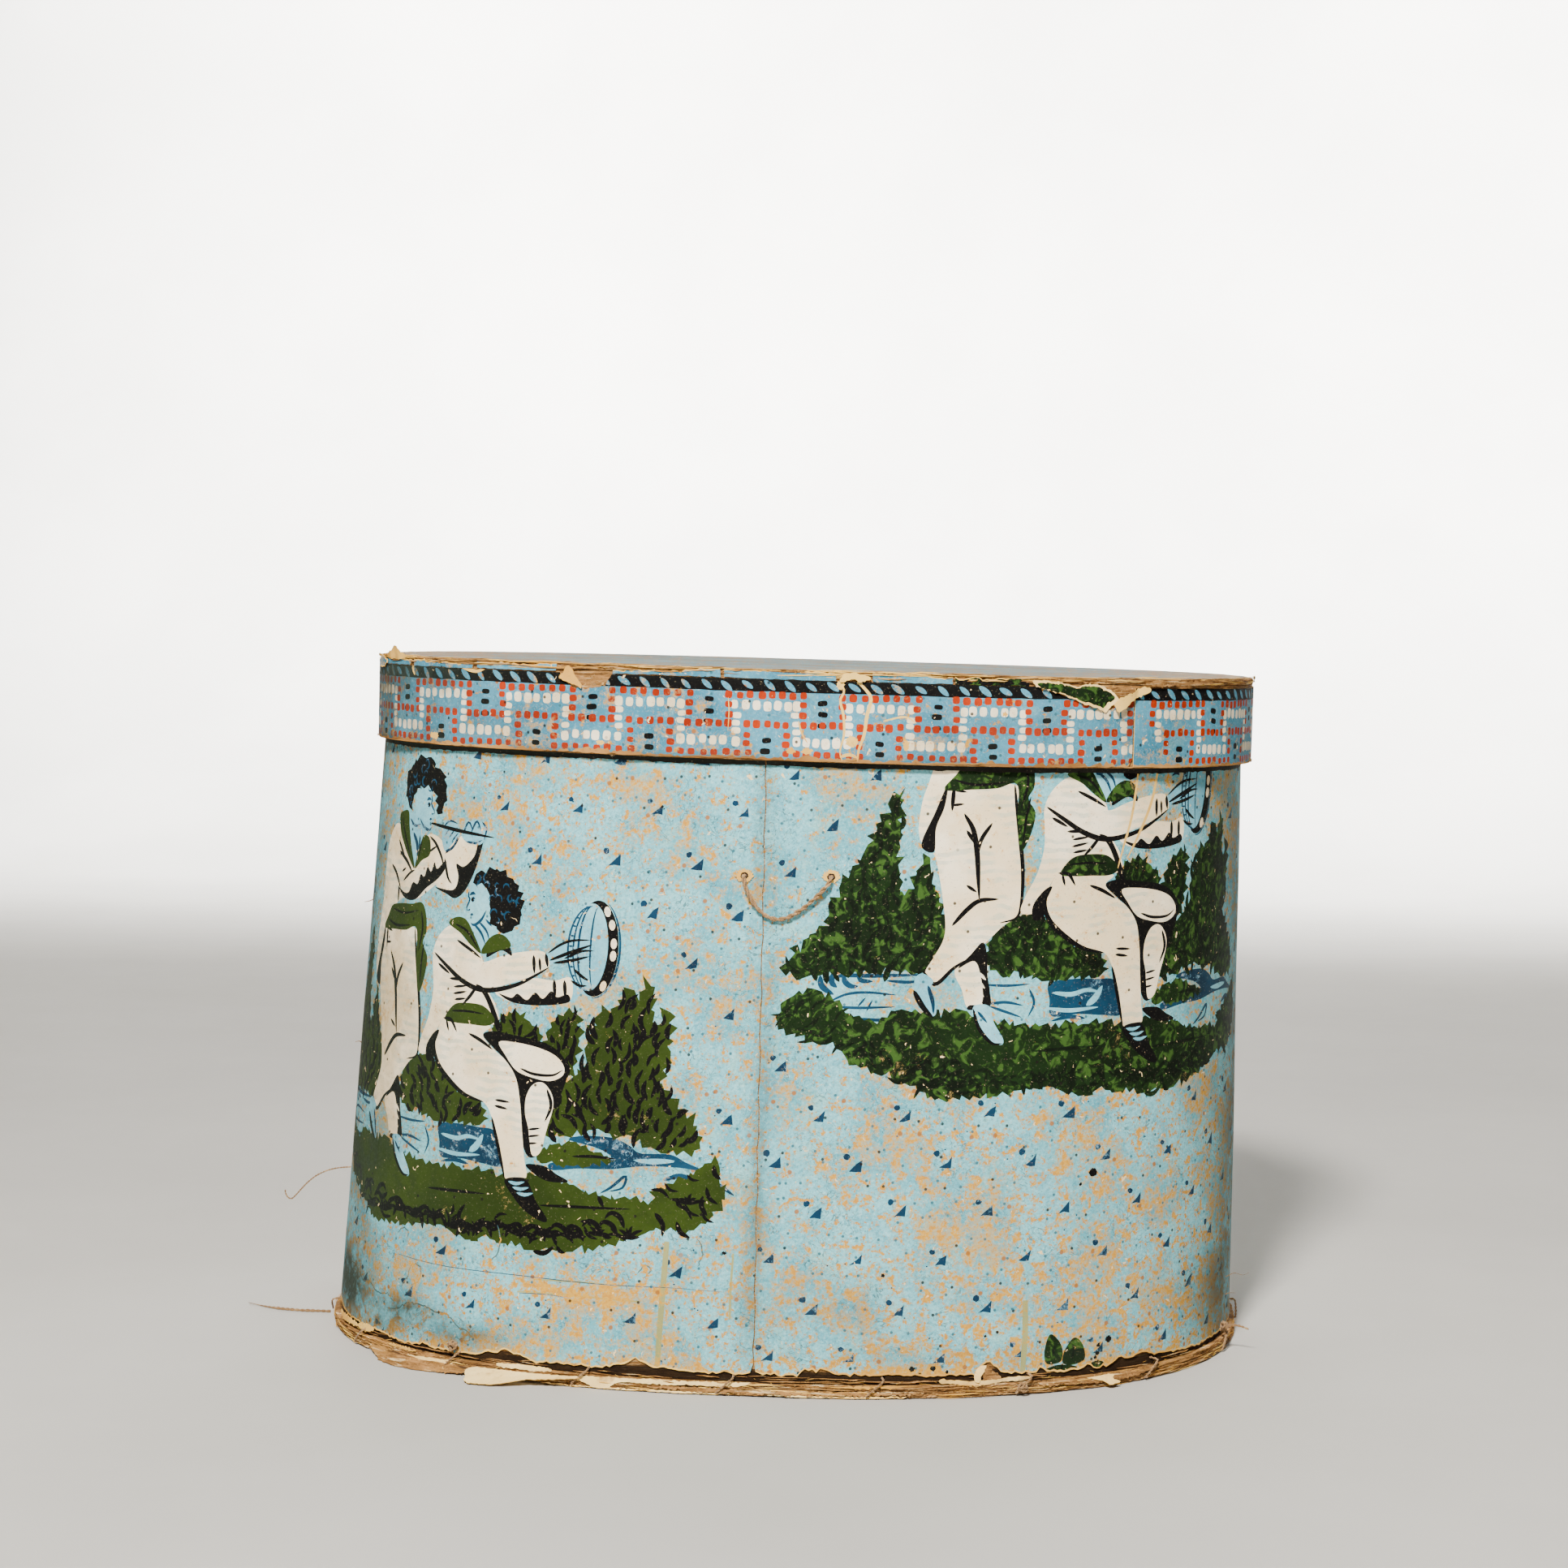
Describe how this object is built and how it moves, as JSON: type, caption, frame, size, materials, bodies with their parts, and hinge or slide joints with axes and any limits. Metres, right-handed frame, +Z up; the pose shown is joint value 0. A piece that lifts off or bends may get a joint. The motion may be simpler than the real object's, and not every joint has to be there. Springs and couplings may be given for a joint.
{
  "type": "hat box",
  "caption": "Oval pasteboard hat box sewn with twine, covered in block-printed wallpaper, with a lift-off lid and a small twine loop on the front.",
  "frame": {"origin": "on the table under the middle of the box", "axes": "+X along the oval's long axis towards the end that the wall leans to, -Y the front with the twine loop, +Z up"},
  "size_m": [0.471, 0.326, 0.3111],
  "materials": {
    "board": "rough brown pasteboard with frayed, layered edges",
    "wallpaper": "matt block-printed wallpaper, pale blue, worn to tan in patches",
    "border_paper": "matt block-printed border, mid blue with a dotted key pattern",
    "plain_paper": "unprinted cream paper, yellowed",
    "twine": "two-ply linen twine, brown, a little frayed"
  },
  "bodies": {
    "root": {"wall_board_front": "board", "wall_board_back": "board", "base_board_lower": "board", "base_board_upper": "board", "cover_paper_left": "wallpaper", "cover_paper_right": "wallpaper", "base_bottom_paper": "plain_paper", "base_edge_paper_front": "plain_paper", "base_edge_paper_back": "plain_paper", "base_lining": "plain_paper", "wall_lining": "plain_paper", "base_stitching_front": "twine", "base_stitching_back": "twine", "left_seam_stitching": "twine", "right_seam_stitching": "twine", "base_knot_left": "twine", "base_knot_right": "twine", "loop_knot_left": "twine", "loop_knot_right": "twine", "seam_tail": "twine", "base_tail": "twine"},
    "lid": {"lid_rim_board": "board", "lid_top_board": "board", "lid_top_paper": "wallpaper", "lid_border_paper": "border_paper", "lid_rim_lining": "plain_paper", "lid_top_lining": "plain_paper"},
    "loop": {"front_loop": "twine"}
  },
  "joints": [
    {"name": "lid_lift", "type": "slide", "parent": "root", "child": "lid", "axis": [0.0236, 0, 0.9997], "range_m": [0, 0.12]},
    {"name": "loop_swing", "type": "hinge", "parent": "root", "child": "loop", "pos_m": [0.01875, -0.15509, 0.2195], "axis": [-0.9999, -0.0169, 0], "range_deg": [0, 150]}
  ]
}
